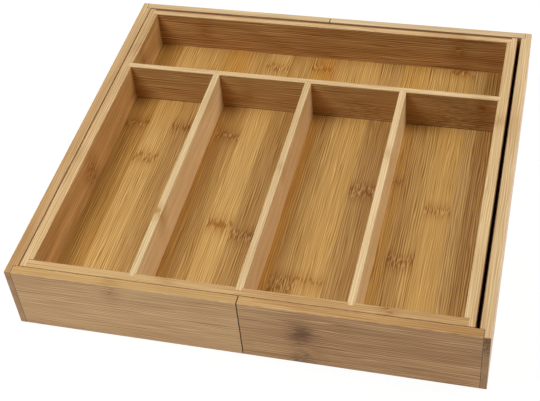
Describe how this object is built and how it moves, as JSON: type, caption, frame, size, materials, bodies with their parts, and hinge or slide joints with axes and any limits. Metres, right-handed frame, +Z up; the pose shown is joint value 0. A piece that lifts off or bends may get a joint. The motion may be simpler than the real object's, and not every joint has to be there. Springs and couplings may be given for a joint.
{
  "type": "expandable cutlery tray",
  "caption": "Bamboo drawer tray for cutlery: long bays and a rear bay in an inner tray that stands in side wings, which slide out to make further bays.",
  "frame": {"origin": "middle of the closed tray's outline, on the surface that it stands on", "axes": "+X to the tray's right, the way the right wing slides out; +Y to its rear bay; +Z up"},
  "size_m": [0.388, 0.37, 0.063],
  "materials": {
    "bamboo_board": "satin, sanded and lacquered",
    "bamboo_divider": "satin, sanded and lacquered",
    "bamboo_panel": "satin, sanded and lacquered",
    "bamboo_tongue": "waxed",
    "bamboo_wing": "satin, sanded and lacquered"
  },
  "bodies": {
    "inner_tray": {"inner_left_wall": "bamboo_board", "inner_right_wall": "bamboo_board", "inner_front_wall": "bamboo_board", "inner_rear_wall": "bamboo_board", "inner_floor": "bamboo_panel", "cross_divider": "bamboo_divider", "left_divider": "bamboo_divider", "centre_divider": "bamboo_divider", "right_divider": "bamboo_divider", "front_left_tongue": "bamboo_tongue", "front_right_tongue": "bamboo_tongue", "rear_left_tongue": "bamboo_tongue", "rear_right_tongue": "bamboo_tongue"},
    "left_wing": {"left_end_wall": "bamboo_wing", "left_front_wall": "bamboo_wing", "left_rear_wall": "bamboo_wing", "left_floor": "bamboo_panel"},
    "right_wing": {"right_end_wall": "bamboo_wing", "right_front_wall": "bamboo_wing", "right_rear_wall": "bamboo_wing", "right_floor": "bamboo_panel"}
  },
  "joints": [
    {"name": "left_slide", "type": "slide", "parent": "inner_tray", "child": "left_wing", "axis": [-1, 0, 0], "range_m": [0, 0.0975]},
    {"name": "right_slide", "type": "slide", "parent": "inner_tray", "child": "right_wing", "axis": [1, 0, 0], "range_m": [0, 0.095]}
  ]
}
